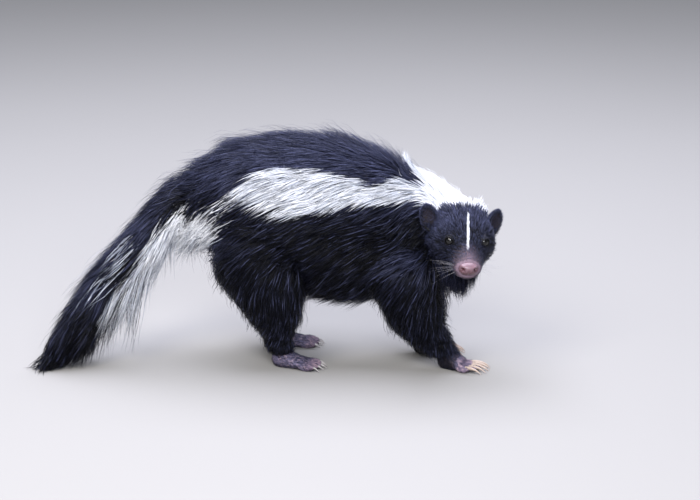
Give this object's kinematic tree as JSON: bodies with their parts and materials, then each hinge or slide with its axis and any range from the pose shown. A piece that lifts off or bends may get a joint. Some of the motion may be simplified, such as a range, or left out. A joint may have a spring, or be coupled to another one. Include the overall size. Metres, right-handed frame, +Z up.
{
  "type": "striped skunk model",
  "caption": "Still life-size model of a striped skunk standing on all fours, head turned to its right, tail hanging to the floor.",
  "frame": {"origin": "on the floor, under the middle of the whole animal's box", "axes": "+X forward along the body, from tail to head; +Y to the animal's left; +Z up"},
  "size_m": [0.4272, 0.157, 0.2135],
  "materials": {
    "black_coat": "long soft black guard hair with a faint blue sheen",
    "white_coat": "long soft white guard hair",
    "bare_skin": "bare dark greyish skin with very short hair",
    "nose_pad": "moist pinkish skin, finely pebbled",
    "pale_claw": "pale pinkish horn, smooth",
    "dark_claw": "greyish horn, smooth",
    "eye": "polished dark glass eye"
  },
  "bodies": {
    "root": {"head": "black_coat", "nose": "nose_pad", "eye_right": "eye", "eye_left": "eye", "ear_right": "black_coat", "ear_left": "black_coat", "neck": "white_coat", "torso": "black_coat", "tail_base": "black_coat", "tail_middle": "black_coat", "tail_tip": "black_coat", "leg_hind_right": "black_coat", "leg_hind_left": "black_coat", "leg_fore_right": "black_coat", "leg_fore_left": "black_coat", "paw_hind_right": "bare_skin", "paw_hind_left": "bare_skin", "paw_fore_right": "bare_skin", "paw_fore_left": "bare_skin", "claw_hind_right_1": "dark_claw", "claw_hind_right_2": "dark_claw", "claw_hind_right_3": "dark_claw", "claw_hind_right_4": "dark_claw", "claw_hind_right_5": "dark_claw", "claw_hind_left_1": "dark_claw", "claw_hind_left_2": "dark_claw", "claw_hind_left_3": "dark_claw", "claw_hind_left_4": "dark_claw", "claw_hind_left_5": "dark_claw", "claw_fore_right_1": "pale_claw", "claw_fore_right_2": "pale_claw", "claw_fore_right_3": "pale_claw", "claw_fore_right_4": "pale_claw", "claw_fore_right_5": "pale_claw", "claw_fore_left_1": "pale_claw", "claw_fore_left_2": "pale_claw", "claw_fore_left_3": "pale_claw", "claw_fore_left_4": "pale_claw", "claw_fore_left_5": "pale_claw"}
  },
  "joints": []
}
